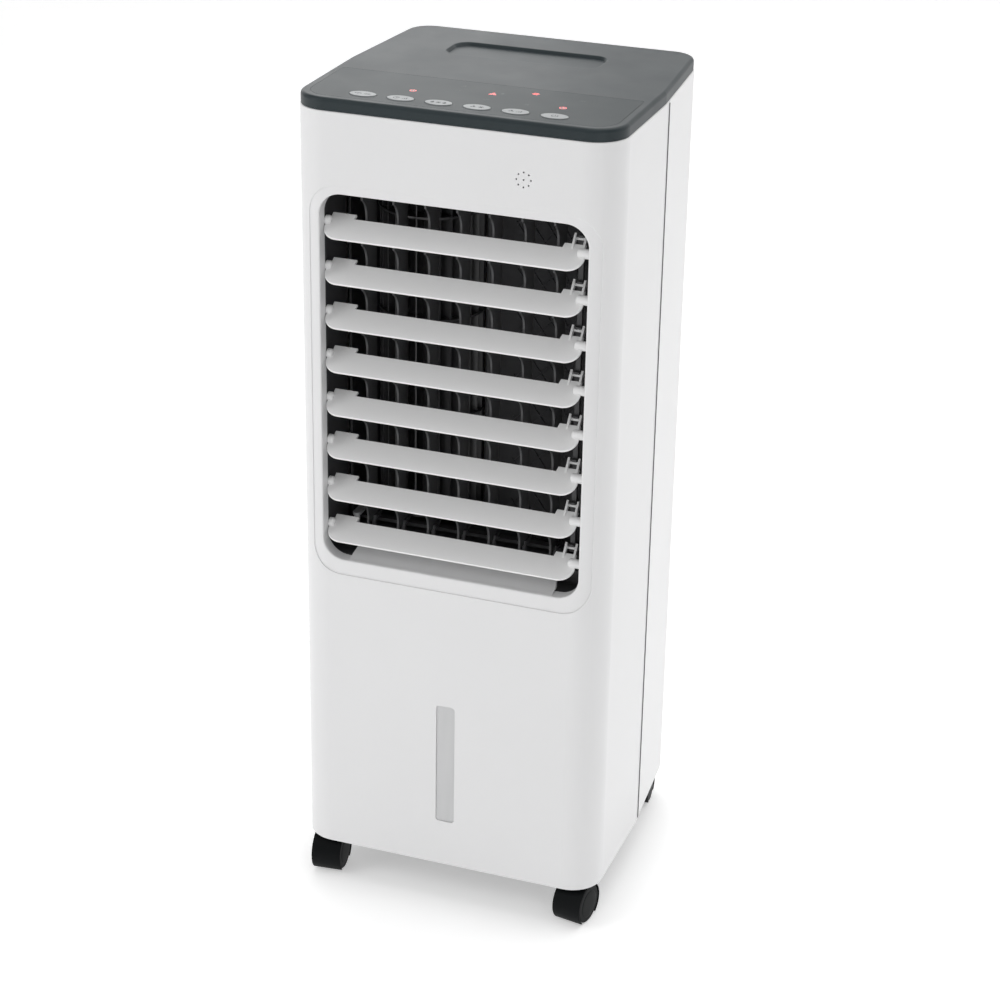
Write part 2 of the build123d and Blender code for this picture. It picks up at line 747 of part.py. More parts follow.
with BuildPart() as louvre_link:
    link_top = louvre_heights[0] + crank_z + 4
    link_foot = louvre_heights[-1] + crank_z - 4
    with Locations((link_x, pin_y + 2.2, link_foot)):
        Box(2 * link_half, 4, link_top - link_foot,
            align=(Align.CENTER, Align.MIN, Align.MIN))
    for z in louvre_heights:
        with BuildSketch(Plane.YZ.offset(link_x - link_half)):
            with Locations((pin_y, z + crank_z)):
                Circle(hook_radius)
                Circle(crank_pin_radius + running_fit, mode=Mode.SUBTRACT)
            # the hook is open towards the front
            with Locations((pin_y - 0.7, z + crank_z)):
                Rectangle(6, 6, align=(Align.MAX, Align.CENTER), mode=Mode.SUBTRACT)
        extrude(amount=2 * link_half)
        with BuildSketch(Plane.YZ.offset(link_x - link_half)):
            with Locations((pin_y, z + crank_z)):
                Circle(crank_pin_radius + running_fit)
        extrude(amount=2 * link_half, mode=Mode.SUBTRACT)
finish(louvre_link, "louvre_link")

for number, x in enumerate(vane_places, start=1):
    with BuildPart() as vane:
        with BuildSketch(Plane.YZ.offset(x - vane_thickness / 2)):
            with Locations((vane_front, vane_bottom)):
                Rectangle(vane_rear - vane_front, vane_top - vane_bottom,
                          align=(Align.MIN, Align.MIN))
            for z in louvre_heights:
                with Locations((louvre_pivot_y, z)):
                    Circle(scallop_radius, mode=Mode.SUBTRACT)
        extrude(amount=vane_thickness)
        # pivot pins with a collar at each end
        with Locations((x, vane_pivot_y, vane_top - vane_collar_height)):
            Cylinder(vane_collar_radius, vane_collar_height,
                     align=(Align.CENTER, Align.CENTER, Align.MIN))
            Cylinder(pivot_radius, vane_collar_height + 3.2,
                     align=(Align.CENTER, Align.CENTER, Align.MIN))
        with Locations((x, vane_pivot_y, vane_bottom)):
            Cylinder(vane_collar_radius, vane_collar_height,
                     align=(Align.CENTER, Align.CENTER, Align.MIN))
            Cylinder(pivot_radius, vane_bottom - frame_floor - 0.4,
                     align=(Align.CENTER, Align.CENTER, Align.MAX))
        # crank lug and its pin
        with Locations((x, vane_pivot_y - 1, vane_bottom)):
            Box(vane_lug_width, vane_crank + 3.2, vane_lug_height,
                align=(Align.CENTER, Align.MIN, Align.MIN))
        with Locations((x, vane_pivot_y + vane_crank, vane_bottom)):
            Cylinder(vane_pin_radius, vane_pin_length,
                     align=(Align.CENTER, Align.CENTER, Align.MAX))
    finish(vane, f"vane_{number}")

link_bar_foot = 336.3
link_bar_height = 3.0
link_bar_width = 7.0
link_bar_overrun = 4.0       # past the last pin at each end

with BuildPart() as vane_link:
    bar_start = swing_x - link_bar_overrun
    bar_end = vane_places[-1] + link_bar_overrun
    with Locations((bar_start, vane_pivot_y + vane_crank, link_bar_foot)):
        Box(bar_end - bar_start, link_bar_width, link_bar_height,
            align=(Align.MIN, Align.CENTER, Align.MIN))
    for x in [swing_x] + vane_places:
        with Locations((x, vane_pivot_y + vane_crank, link_bar_foot)):
            Cylinder(vane_pin_radius + running_fit, 12, mode=Mode.SUBTRACT)
finish(vane_link, "vane_link")

swing_shaft_radius = 2.5
swing_shaft_foot = 325.0
swing_motor_radius = 13.0
swing_motor_height = 19.0
swing_plate_foot = 327.6
swing_plate_top = 329.2
swing_screw_pitch = 33.0
swing_screw_radius = 1.7

with BuildPart() as swing_arm:
    with Locations((swing_x, vane_pivot_y, swing_shaft_foot)):
        Cylinder(swing_shaft_radius, vane_bottom + vane_lug_height - swing_shaft_foot,
                 align=(Align.CENTER, Align.CENTER, Align.MIN))
    with BuildSketch(Plane.XY.offset(vane_bottom)):
        with Locations((swing_x, vane_pivot_y + vane_crank / 2)):
            SlotCenterToCenter(vane_crank, link_bar_width, rotation=90)
    extrude(amount=vane_lug_height)
    with Locations((swing_x, vane_pivot_y + vane_crank, vane_bottom)):
        Cylinder(vane_pin_radius, vane_pin_length,
                 align=(Align.CENTER, Align.CENTER, Align.MAX))
finish(swing_arm, "swing_arm")

with BuildPart() as swing_motor:
    with Locations((swing_x, vane_pivot_y, swing_plate_top)):
        Cylinder(swing_motor_radius, swing_motor_height,
                 align=(Align.CENTER, Align.CENTER, Align.MAX))
    with BuildSketch(Plane.XY.offset(swing_plate_foot)):
        with Locations((swing_x, vane_pivot_y)):
            SlotCenterToCenter(swing_screw_pitch, link_bar_width)
            with Locations((swing_screw_pitch / 2, 0), (-swing_screw_pitch / 2, 0)):
                Circle(swing_screw_radius, mode=Mode.SUBTRACT)
    extrude(amount=swing_plate_top - swing_plate_foot)
    with Locations((swing_x, vane_pivot_y, swing_shaft_foot - 0.5)):
        Cylinder(swing_shaft_radius + running_fit, 10,
                 align=(Align.CENTER, Align.CENTER, Align.MIN), mode=Mode.SUBTRACT)
finish(swing_motor, "swing_motor")

# ---- fan ----------------------------------------------------------------------------
scroll_wall = 2.0
scroll_radius = 54.0
scroll_x = fan_x - 2.0
bush_radius = 9.0
bush_height = 6.0
shaft_radius = 3.0
shaft_length = 51.0
hub_radius = 9.0
hub_height = 14.0
blade_ring = 14.5            # depth of the blades, measured from the wheel's outside
blade_chord = 13.0
blade_wall = 1.1
blade_angle = 24.0
disc_thickness = 2.2
ring_thickness = 1.8

tongue = Vector(-3, -23)
wall_end = Vector(114, deck_front)
wall_run = (wall_end - tongue).normalized()
lattice_pitch = 18.0
lattice_slope = 46.0
lattice_length = 74.0
lattice_plane = Plane(
    origin=tongue + wall_run * 65 + Vector(0, 0, 492),
    x_dir=wall_run,
    z_dir=wall_run.cross(Vector(0, 0, 1)),
)

with BuildPart() as fan_scroll:
    for deck in (deck_low, deck_high):
        with BuildSketch(Plane.XY.offset(deck)):
            add(plan_deck)
            with Locations((0, deck_rear)):
                Rectangle(width, depth, align=(Align.CENTER, Align.MIN), mode=Mode.SUBTRACT)
            with Locations((0, deck_front)):
                Rectangle(width, depth, align=(Align.CENTER, Align.MAX), mode=Mode.SUBTRACT)
        extrude(amount=deck_thickness)
    # curved left wall round the wheel
    with BuildSketch(Plane.XY.offset(deck_low + deck_thickness)):
        with BuildLine():
            Line((scroll_x - scroll_radius, deck_front), (scroll_x - scroll_radius, fan_y))
            CenterArc((scroll_x, fan_y), scroll_radius, 180, -110)
            offset(amount=scroll_wall, side=Side.LEFT)
        make_face()
    extrude(amount=deck_high - deck_low - deck_thickness)
    # slanted right wall, ending in the tongue beside the wheel
    with BuildSketch(Plane.XY.offset(deck_low + deck_thickness)):
        with BuildLine():
            Polyline(tongue, wall_end, wall_end + Vector(2.4, 0), tongue + Vector(1, 7.5),
                     close=True)
        make_face()
        with Locations((-3.2, -19.2)):
            Circle(3.9)
    extrude(amount=deck_high - deck_low - deck_thickness)
    # diamond ribs on the face of the slanted wall
    with BuildSketch(lattice_plane):
        for slope in (-lattice_slope, lattice_slope):
            with GridLocations(lattice_pitch, louvre_pitch / 2, 5, 17):
                Rectangle(46, 1.1, rotation=slope)
        Rectangle(lattice_length, 17 * louvre_pitch / 2, mode=Mode.INTERSECT)
    extrude(amount=0.9)
    # lower bush seat and upper shaft hole
    with Locations((fan_x, fan_y, deck_low)):
        Cylinder(bush_radius, 20, mode=Mode.SUBTRACT)
    with Locations((fan_x, fan_y, deck_high)):
        Cylinder(8, 20, mode=Mode.SUBTRACT)
finish(fan_scroll, "fan_scroll")

with BuildPart() as fan_wheel:
    # one curved blade, then a ring of them
    with BuildSketch(Plane.XY.offset(fan_bottom + 1)):
        with Locations((fan_x, fan_y)):
            with PolarLocations(0, fan_blades):
                with Locations((fan_radius - 7.2, 0)):
                    Rectangle(blade_chord, blade_wall, rotation=blade_angle)
    extrude(amount=fan_top - fan_bottom - 2)
    for z in (fan_bottom, fan_top - disc_thickness):
        with BuildSketch(Plane.XY.offset(z)):
            with Locations((fan_x, fan_y)):
                Circle(fan_radius)
        extrude(amount=disc_thickness)
    for z in fan_rings:
        with BuildSketch(Plane.XY.offset(z - ring_thickness / 2)):
            with Locations((fan_x, fan_y)):
                Circle(fan_radius)
                Circle(fan_radius - blade_ring, mode=Mode.SUBTRACT)
        extrude(amount=ring_thickness)
    # upper hub, pressed on the motor shaft, and lower stub in the bush
    with Locations((fan_x, fan_y, fan_top - hub_height)):
        Cylinder(hub_radius, hub_height, align=(Align.CENTER, Align.CENTER, Align.MIN))
    with Locations((fan_x, fan_y, fan_top)):
        Cylinder(shaft_radius, 26, mode=Mode.SUBTRACT)
    with Locations((fan_x, fan_y, fan_bottom + 1)):
        Cylinder(shaft_radius, 17.5, align=(Align.CENTER, Align.CENTER, Align.MAX))
finish(fan_wheel, "fan_wheel")

with BuildPart() as fan_shaft:
    with Locations((fan_x, fan_y, fan_top - hub_height + 1)):
        Cylinder(shaft_radius, shaft_length, align=(Align.CENTER, Align.CENTER, Align.MIN))
finish(fan_shaft, "fan_shaft")

with BuildPart() as fan_bush:
    with Locations((fan_x, fan_y, deck_low - 1.5)):
        Cylinder(bush_radius, bush_height, align=(Align.CENTER, Align.CENTER, Align.MIN))
        Cylinder(shaft_radius + running_fit, 20, mode=Mode.SUBTRACT)
finish(fan_bush, "fan_bush")

motor_bottom = deck_high + deck_thickness
motor_height = 34.0
motor_radius = 40.0
motor_lug_circle = 43.0
motor_lug_radius = 6.0
motor_screw_radius = 2.2

with BuildPart() as fan_motor:
    with BuildSketch(Plane.XY.offset(motor_bottom)):
        with Locations((fan_x, fan_y)):
            Circle(motor_radius)
    extrude(amount=motor_height)
    fillet(fan_motor.edges().filter_by(GeomType.CIRCLE).sort_by(Axis.Z)[-1], 4)
    # flange with its four screw lugs
    with BuildSketch(Plane.XY.offset(motor_bottom)):
        with Locations((fan_x, fan_y)):
            with PolarLocations(motor_lug_circle, 4, start_angle=45):
                Circle(motor_lug_radius)
                Circle(motor_screw_radius, mode=Mode.SUBTRACT)
    extrude(amount=3)
    with Locations((fan_x, fan_y, motor_bottom)):
        Cylinder(shaft_radius + running_fit, 60, mode=Mode.SUBTRACT)
finish(fan_motor, "fan_motor")

# ---- water circuit ------------------------------------------------------------------
face_rear = rear_y - recess_depth
handle_half = 52.0
handle_bottom = 168.0
handle_top = 198.0
handle_depth = 22.0

with BuildPart() as water_tank:
    tank_centre_y = (tank_front + tank_rear) / 2
    tank_length = tank_rear - tank_front
    with BuildSketch(Plane.XY.offset(tank_bottom)):
        with Locations((0, tank_centre_y)):
            RectangleRounded(2 * tank_half, tank_length, 12)
    extrude(amount=tank_top - tank_bottom)
    with BuildSketch(Plane.XY.offset(tank_bottom + tank_wall)):
        with Locations((0, tank_centre_y)):
            RectangleRounded(2 * (tank_half - tank_wall), tank_length - 2 * tank_wall, 9.6)
    extrude(amount=tank_top - tank_bottom, mode=Mode.SUBTRACT)
    # back face that closes the casing
    with BuildSketch(rear_plane.offset(-recess_depth)):
        with Locations((0, (tank_bottom - 1.4 + tank_top + 1.4) / 2)):
            RectangleRounded(2 * (tank_opening_half - 0.6), tank_top - tank_bottom + 2.6, 5.5)
    extrude(amount=-(face_rear - tank_rear + tank_wall))
    # handle pocket, with its own walls inside the tank
    with Locations((0, tank_rear - handle_depth, (handle_bottom + handle_top) / 2)):
        Box(2 * handle_half + 4, handle_depth, handle_top - handle_bottom + 4,
            align=(Align.CENTER, Align.MIN, Align.CENTER))
    with Locations((0, face_rear + 1, (handle_bottom + handle_top) / 2)):
        Box(2 * handle_half, handle_depth, handle_top - handle_bottom,
            align=(Align.CENTER, Align.MAX, Align.CENTER), mode=Mode.SUBTRACT)
finish(water_tank, "water_tank")

latch_front = face_rear + 0.3
latch_disc_radius = 7.5
latch_lever = (18.0, 9.0)

with BuildPart() as tank_latch:
    with BuildSketch(rear_plane.offset(-(rear_y - latch_front))):
        with Locations((0, latch_z)):
            Circle(latch_disc_radius)
        # lever stored level; turned down, it crosses the top edge of the tank
        with Locations((-latch_lever[0] / 2, latch_z)):
            Rectangle(*latch_lever)
    extrude(amount=rear_y - latch_front - 0.1)
    with BuildSketch(rear_plane.offset(-(rear_y - latch_front))):
        with Locations((0, latch_z)):
            Circle(pivot_radius)
    extrude(amount=-8)
    with BuildSketch(rear_plane.offset(-9.2)):
        with Locations((0, latch_z)):
            Circle(4)
    extrude(amount=-1.4)
finish(tank_latch, "tank_latch")

pump_x = 44.0
pump_y = 84.0
pump_bottom = tank_bottom + tank_wall + 1.4
pump_size = (42.0, 30.0, 34.0)
pump_corner = 5.0
spigot_radius = 3.0
strap_top = 216.5
strap_x = pump_x - 17.0

with BuildPart() as water_pump:
    with Locations((pump_x, pump_y, pump_bottom)):
        Box(*pump_size, align=(Align.CENTER, Align.CENTER, Align.MIN))
    fillet(water_pump.edges().filter_by(Axis.Z), pump_corner)
    # outlet spigot
    with Locations((pump_x, pump_y, pump_bottom + pump_size[2])):
        Cylinder(spigot_radius, 12, align=(Align.CENTER, Align.CENTER, Align.MIN))
    # hanger strap up to the bar between the two rear openings
    with Locations((strap_x, pump_y, pump_bottom + 30)):
        Box(8, 3, strap_top - pump_bottom - 30, align=(Align.CENTER, Align.CENTER, Align.MIN))
    with Locations((strap_x, pump_y - 1.5, strap_top)):
        Box(8, rear_y - wall - 4.1 - pump_y + 1.5, 3, align=(Align.CENTER, Align.MIN, Align.MIN))
finish(water_pump, "water_pump")

hose_radius = 4.0
hose_bore = 3.0
tray_hose_z = 677.0
hose_side_x = 114.0
hose_low = pump_bottom + pump_size[2] + 4
hose_level = 223.2           # height of its level run under the fan

with BuildPart() as water_hose:
    with BuildLine() as hose_path:
        FilletPolyline(
            (pump_x, pump_y, hose_low),
            (pump_x, pump_y, hose_level),
            (hose_side_x, pump_y, hose_level),
            (hose_side_x, pump_y, tray_hose_z),
            (hose_side_x - 12, pump_y, tray_hose_z),
            radius=[20, 20, 9],
        )
    with BuildSketch(Plane.XY.offset(hose_low)):
        with Locations((pump_x, pump_y)):
            Circle(hose_radius)
            Circle(hose_bore, mode=Mode.SUBTRACT)
    sweep()
finish(water_hose, "water_hose")

dist_bottom = 664.0
dist_top = 686.0
dist_front = 78.0
dist_rear = 119.0
dist_length = 198.0
dist_wall = 2.0
drip_radius = 1.5

with BuildPart() as distributor_tray:
    with Locations((0, (dist_front + dist_rear) / 2, dist_bottom)):
        Box(dist_length, dist_rear - dist_front, dist_top - dist_bottom,
            align=(Align.CENTER, Align.CENTER, Align.MIN))
    with Locations((0, (dist_front + dist_rear) / 2, dist_bottom + dist_wall)):
        Box(dist_length - 2 * dist_wall, dist_rear - dist_front - 2 * dist_wall,
            dist_top - dist_bottom,
            align=(Align.CENTER, Align.CENTER, Align.MIN), mode=Mode.SUBTRACT)
    # drip holes over the pad
    with GridLocations(12, 10, 15, 2):
        with Locations((0, 99, dist_bottom)):
            Cylinder(drip_radius, 10, mode=Mode.SUBTRACT)
    # hose spigot
    with Locations((98, pump_y, tray_hose_z)):
        Cylinder(hose_bore, 6.5, rotation=(0, 90, 0), align=(Align.CENTER, Align.CENTER, Align.MIN))
        Cylinder(1.8, 40, rotation=(0, 90, 0), mode=Mode.SUBTRACT)
finish(distributor_tray, "distributor_tray")

cassette_half = 101.5
cassette_bottom = 236.0
cassette_top = 662.0
pad_front = 84.0
pad_rear = 114.0
cassette_wall = 2.0
cassette_rear = 122.6
filter_thickness = 2.4

with BuildPart() as pad_cassette:
    with BuildSketch(Plane.XZ.offset(-pad_front)):
        with Locations((0, (cassette_bottom + cassette_top) / 2)):
            Rectangle(2 * cassette_half, cassette_top - cassette_bottom)
            Rectangle(2 * (cassette_half - cassette_wall),
                      cassette_top - cassette_bottom - 2 * cassette_wall, mode=Mode.SUBTRACT)
    extrude(amount=-(cassette_rear - pad_front))
    # open cross bars that keep the pad in
    for z in (cassette_bottom + 142, cassette_bottom + 284):
        with Locations((0, pad_front, z)):
            Box(2 * cassette_half, 2, 5, align=(Align.CENTER, Align.MIN, Align.CENTER))
    for x in (-50, 0, 50):
        with Locations((x, pad_front, (cassette_bottom + cassette_top) / 2)):
            Box(4, 2, cassette_top - cassette_bottom, align=(Align.CENTER, Align.MIN, Align.CENTER))
finish(pad_cassette, "pad_cassette")

with BuildPart() as cooling_pad:
    with Locations((0, pad_front + 2.3, (cassette_bottom + cassette_top) / 2)):
        Box(2 * (cassette_half - cassette_wall) - 0.6, pad_rear - pad_front - 2.3,
            cassette_top - cassette_bottom - 2 * cassette_wall - 0.6,
            align=(Align.CENTER, Align.MIN, Align.CENTER))
finish(cooling_pad, "cooling_pad")

with BuildPart() as dust_filter:
    with Locations((0, pad_rear + 2, (cassette_bottom + cassette_top) / 2)):
        Box(2 * (cassette_half - cassette_wall) - 0.8, filter_thickness,
            cassette_top - cassette_bottom - 2 * cassette_wall - 0.8,
            align=(Align.CENTER, Align.MIN, Align.CENTER))
finish(dust_filter, "dust_filter")

slat_rows = 40
slat_pitch = 10.4
slat_gap = 5.6
slat_length = 60.0
grille_thickness = 3.2

with BuildPart() as rear_grille:
    with BuildSketch(rear_plane.offset(-grille_thickness)):
        with Locations((0, (grille_top + grille_bottom) / 2)):
            RectangleRounded(2 * (grille_half - 0.5), grille_top - grille_bottom - 1, 7.5)
            with Locations((0, -6)):
                with GridLocations(slat_length + 5, slat_pitch, 3, slat_rows):
                    Rectangle(slat_length, slat_gap, mode=Mode.SUBTRACT)
    extrude(amount=grille_thickness)
finish(rear_grille, "rear_grille")

# ---- casters ------------------------------------------------------------------------
for name, wheel_x, wheel_y, turn in casters:
    stem_x, stem_y = caster_stem(wheel_x, wheel_y, turn)
    axle = (cos(radians(turn)), sin(radians(turn)), 0)
    across = Plane(origin=(wheel_x, wheel_y, wheel_radius),
                   x_dir=(-axle[1], axle[0], 0), z_dir=axle)
    with BuildPart() as hood:
        # drum round both wheels, open below
        with BuildSketch(across.offset(-hood_half)):
            Circle(hood_radius)
            with Locations((0, -hood_skirt)):
                Rectangle(3 * hood_radius, hood_radius, align=(Align.CENTER, Align.MAX),
                          mode=Mode.SUBTRACT)
        extrude(amount=2 * hood_half)
        fillet(hood.edges().filter_by(GeomType.CIRCLE), hood_edge)
        # neck under the swivel stem
        with Locations((stem_x, stem_y, wheel_radius)):
            Cylinder(6.5, neck_top - wheel_radius,
                     align=(Align.CENTER, Align.CENTER, Align.MIN))
        # wheel bays on both sides of a middle web
        for side in (-1, 1):
            with BuildSketch(across.offset(side * web_half)):
                Circle(hood_inner)
            extrude(amount=side * hood_half, mode=Mode.SUBTRACT)
        with Locations((stem_x, stem_y, neck_top - 1)):
            Cylinder(stem_radius, 22, align=(Align.CENTER, Align.CENTER, Align.MIN))
        with Locations(across):
            Cylinder(axle_radius + running_fit, 4 * web_half, mode=Mode.SUBTRACT)
    finish(hood, f"caster_hood_{name}")

    with BuildPart() as wheels:
        for side in (-1, 1):
            with BuildSketch(across.offset(side * (web_half + wheel_gap))):
                Circle(wheel_radius)
            extrude(amount=side * wheel_width)
        ends = wheels.faces().sort_by(lambda face: abs(across.to_local_coords(face.center()).Z))
        fillet(ends[-2:].edges(), wheel_edge)
        with Locations(across):
            Cylinder(axle_radius, 4 * web_half)
    finish(wheels, f"caster_wheels_{name}")
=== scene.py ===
import json
from math import cos, pi, radians, sin

import bmesh
import bpy
from mathutils import Matrix, Vector


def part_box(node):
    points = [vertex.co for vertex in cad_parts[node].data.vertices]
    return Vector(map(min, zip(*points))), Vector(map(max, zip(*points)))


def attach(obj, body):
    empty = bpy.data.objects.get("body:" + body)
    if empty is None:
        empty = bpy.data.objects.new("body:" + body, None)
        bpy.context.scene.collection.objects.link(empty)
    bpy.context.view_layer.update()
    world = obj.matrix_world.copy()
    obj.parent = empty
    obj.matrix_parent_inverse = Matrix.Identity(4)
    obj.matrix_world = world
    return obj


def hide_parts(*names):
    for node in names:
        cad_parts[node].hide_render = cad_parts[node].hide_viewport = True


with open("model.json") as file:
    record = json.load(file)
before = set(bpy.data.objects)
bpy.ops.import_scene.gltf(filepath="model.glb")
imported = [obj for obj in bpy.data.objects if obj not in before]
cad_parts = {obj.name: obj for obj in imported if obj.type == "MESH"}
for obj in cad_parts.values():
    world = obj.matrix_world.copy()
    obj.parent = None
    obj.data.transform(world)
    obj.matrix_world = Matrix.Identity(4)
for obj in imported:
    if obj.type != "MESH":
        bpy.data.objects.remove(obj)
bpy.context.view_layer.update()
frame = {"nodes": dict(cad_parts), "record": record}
scene = bpy.context.scene
MM = 0.001


# ---- materials ----------------------------------------------------------------------
class Finish:
    """One procedural material: a principled shader and the textures that feed it."""

    def __init__(self, name, **inputs):
        self.material = bpy.data.materials.new(name)
        self.material.use_nodes = True
        self.nodes = self.material.node_tree.nodes
        self.links = self.material.node_tree.links
        self.shader = self.nodes["Principled BSDF"]
        for socket, value in inputs.items():
            self.shader.inputs[socket.replace("_", " ")].default_value = value
        self.place = self.nodes.new("ShaderNodeTexCoord").outputs["Object"]

    def add(self, kind, **values):
        """A node with its sockets and properties set by name."""
        node = self.nodes.new(kind)
        for key, value in values.items():
            socket = key.replace("_", " ")
            if socket in node.inputs:
                self.feed(node.inputs[socket], value)
            else:
                setattr(node, key, value)
        return node

    def feed(self, socket, value):
        if isinstance(value, bpy.types.NodeSocket):
            self.links.new(value, socket)
        else:
            socket.default_value = value

    def noise(self, scale, detail=3.0, roughness=0.5, stretch=(1, 1, 1)):
        """Noise in metres: scale is the number of blobs per metre."""
        mapping = self.add("ShaderNodeMapping", Vector=self.place, Scale=stretch)
        return self.add("ShaderNodeTexNoise", Vector=mapping.outputs[0], Scale=scale,
                        Detail=detail, Roughness=roughness).outputs[0]

    def spread(self, value, low, high, start=0.3, stop=0.7):
        """Maps a texture value onto low..high."""
        node = self.add("ShaderNodeMapRange")
        for index, number in ((1, start), (2, stop), (3, low), (4, high)):
            node.inputs[index].default_value = number
        self.links.new(value, node.inputs[0])
        return node.outputs[0]

    def blend(self, factor, first, second):
        """Colour mix of two colours or sockets."""
        node = self.nodes.new("ShaderNodeMix")
        node.data_type = "RGBA"
        self.feed(node.inputs[0], factor)
        self.feed(node.inputs[6], first)
        self.feed(node.inputs[7], second)
        return node.outputs[2]

    def bump(self, height, distance, strength=1.0, under=None):
        node = self.add("ShaderNodeBump", Height=height, Distance=distance, Strength=strength)
        if under is not None:
            self.links.new(under, node.inputs["Normal"])
        return node.outputs[0]

    def connect(self, **sockets):
        for name, value in sockets.items():
            self.feed(self.shader.inputs[name.replace("_", " ")], value)
        return self.material


def shade(colour, factor):
    return tuple(min(c * factor, 1.0) for c in colour) + (1.0,)


def moulded(name, colour, roughness, grain=1500, grain_depth=0.012, mottle=0.03, smudge=0.05,
            cloud=9, waviness=0.0, **inputs):
    """Moulded plastic: slow colour drift, fine spark-eroded grain and handling smudges."""
    finish = Finish(name, **inputs)
    drift = finish.noise(cloud, 4, 0.6)
    specks = finish.noise(grain * 0.6, 2, 0.5)
    base = finish.blend(finish.spread(drift, 0, 1), shade(colour, 1 - mottle),
                        shade(colour, 1 + mottle))
    tinted = finish.blend(finish.spread(specks, 0, 0.35, 0.35, 0.75), base,
                          shade(colour, 1 - 2.5 * mottle))
    wipes = finish.noise(26, 2, 0.5, (1, 1, 0.35))
    rough = finish.spread(wipes, roughness - smudge, roughness + smudge)
    normal = finish.bump(finish.noise(grain, 4, 0.6), grain_depth * MM, 0.6)
    if waviness:
        normal = finish.bump(finish.noise(14, 1, 0.4), waviness * MM, 0.5, normal)
    return finish.connect(Base_Color=tinted, Roughness=rough, Normal=normal)


def metal(name, colour, roughness, brush=(1, 1, 24)):
    finish = Finish(name, Metallic=1.0)
    drift = finish.noise(40, 4, 0.6)
    lines = finish.noise(420, 3, 0.7, brush)
    base = finish.blend(finish.spread(drift, 0, 1), shade(colour, 0.86), shade(colour, 1.08))
    rough = finish.spread(lines, roughness - 0.08, roughness + 0.1)
    return finish.connect(Base_Color=base, Roughness=rough,
                          Normal=finish.bump(lines, 0.01 * MM, 0.5))


white = moulded("white_casing", (0.79, 0.79, 0.795), 0.3, grain=1700, grain_depth=0.004,
                mottle=0.008, smudge=0.015, waviness=0.03, Coat_Weight=0.15, Coat_Roughness=0.12)
cover = moulded("dark_cover", (0.018, 0.028, 0.032), 0.4, grain=1100, grain_depth=0.02,
                mottle=0.07, smudge=0.02, cloud=22, Specular_IOR_Level=0.33)
film = moulded("control_film", (0.024, 0.034, 0.037), 0.36, grain=2600, grain_depth=0.004,
               mottle=0.03, smudge=0.015, Specular_IOR_Level=0.15)
key_white = moulded("key_plastic", (0.33, 0.345, 0.35), 0.4, grain=2400, grain_depth=0.006,
                    mottle=0.03, smudge=0.03)
louvre_white = moulded("louvre_plastic", (0.88, 0.88, 0.88), 0.36, grain=2000, grain_depth=0.006,
                       mottle=0.012, smudge=0.03)
duct_black = moulded("duct_plastic", (0.05, 0.05, 0.053), 0.42, grain=1300, grain_depth=0.012,
                     mottle=0.12, smudge=0.06)
vane_black = moulded("vane_plastic", (0.07, 0.07, 0.073), 0.34, grain=1500, grain_depth=0.01,
                     mottle=0.08, smudge=0.04)
caster_black = moulded("caster_plastic", (0.0035, 0.0045, 0.005), 0.5, grain=1600,
                       grain_depth=0.014, mottle=0.12, smudge=0.04, Specular_IOR_Level=0.1)
base_black = moulded("base_plastic", (0.02, 0.021, 0.022), 0.5, grain=1000, grain_depth=0.03,
                     mottle=0.12)
inner_white = moulded("inner_plastic", (0.55, 0.56, 0.57), 0.45, grain=1200, grain_depth=0.02,
                      mottle=0.04)
tank_milk = moulded("tank_plastic", (0.62, 0.65, 0.68), 0.28, grain=1400, grain_depth=0.006,
                    mottle=0.02, Transmission_Weight=0.12, IOR=1.49)
rubber = moulded("rubber", (0.02, 0.02, 0.021), 0.6, grain=1800, grain_depth=0.02, mottle=0.15)
# painted shade: a dark grey that stands in for the shadow inside the joint between the shells
painted_seam_shade = moulded("seam_shade_strip", (0.14, 0.14, 0.14), 0.6, grain=1800, grain_depth=0.02,
                    mottle=0.1)
hose_milk = moulded("hose_rubber", (0.5, 0.53, 0.5), 0.35, grain=1500, grain_depth=0.01,
                    mottle=0.04)
zinc = metal("zinc_steel", (0.62, 0.63, 0.65), 0.32)
motor_steel = metal("motor_steel", (0.38, 0.39, 0.41), 0.4, (1, 1, 6))
bronze = metal("sintered_bronze", (0.62, 0.42, 0.2), 0.45, (1, 1, 1))


def window_finish():
    """Frosted grey window with faint upright flow lines."""
    finish = Finish("window_plastic", Transmission_Weight=0.15, IOR=1.49)
    frost = finish.noise(600, 4, 0.7)
    flow = finish.noise(60, 2, 0.5, (1, 1, 0.1))
    base = finish.blend(finish.spread(flow, 0, 1), (0.66, 0.665, 0.67, 1), (0.72, 0.72, 0.725, 1))
    return finish.connect(Base_Color=base, Roughness=finish.spread(frost, 0.32, 0.45),
                          Normal=finish.bump(frost, 0.01 * MM, 0.5))


def lens_finish():
    """Smoked lens that almost vanishes in the control film."""
    finish = Finish("smoked_lens", Coat_Weight=0.2)
    drift = finish.noise(300, 3)
    base = finish.blend(finish.spread(drift, 0, 1), (0.042, 0.055, 0.058, 1),
                        (0.05, 0.064, 0.068, 1))
    return finish.connect(Base_Color=base, Roughness=finish.spread(drift, 0.22, 0.32))


def board_finish():
    """Green solder mask with faint copper tracks under it."""
    finish = Finish("circuit_board")
    tracks = finish.add("ShaderNodeTexBrick", Vector=finish.place, Scale=90.0).outputs["Fac"]
    cloud = finish.noise(50, 3)
    mask = finish.blend(finish.spread(cloud, 0, 1), (0.015, 0.12, 0.045, 1), (0.02, 0.16, 0.06, 1))
    base = finish.blend(tracks, mask, (0.05, 0.24, 0.1, 1))
    return finish.connect(Base_Color=base, Roughness=finish.spread(cloud, 0.25, 0.4),
                          Normal=finish.bump(tracks, 0.03 * MM, 0.6))


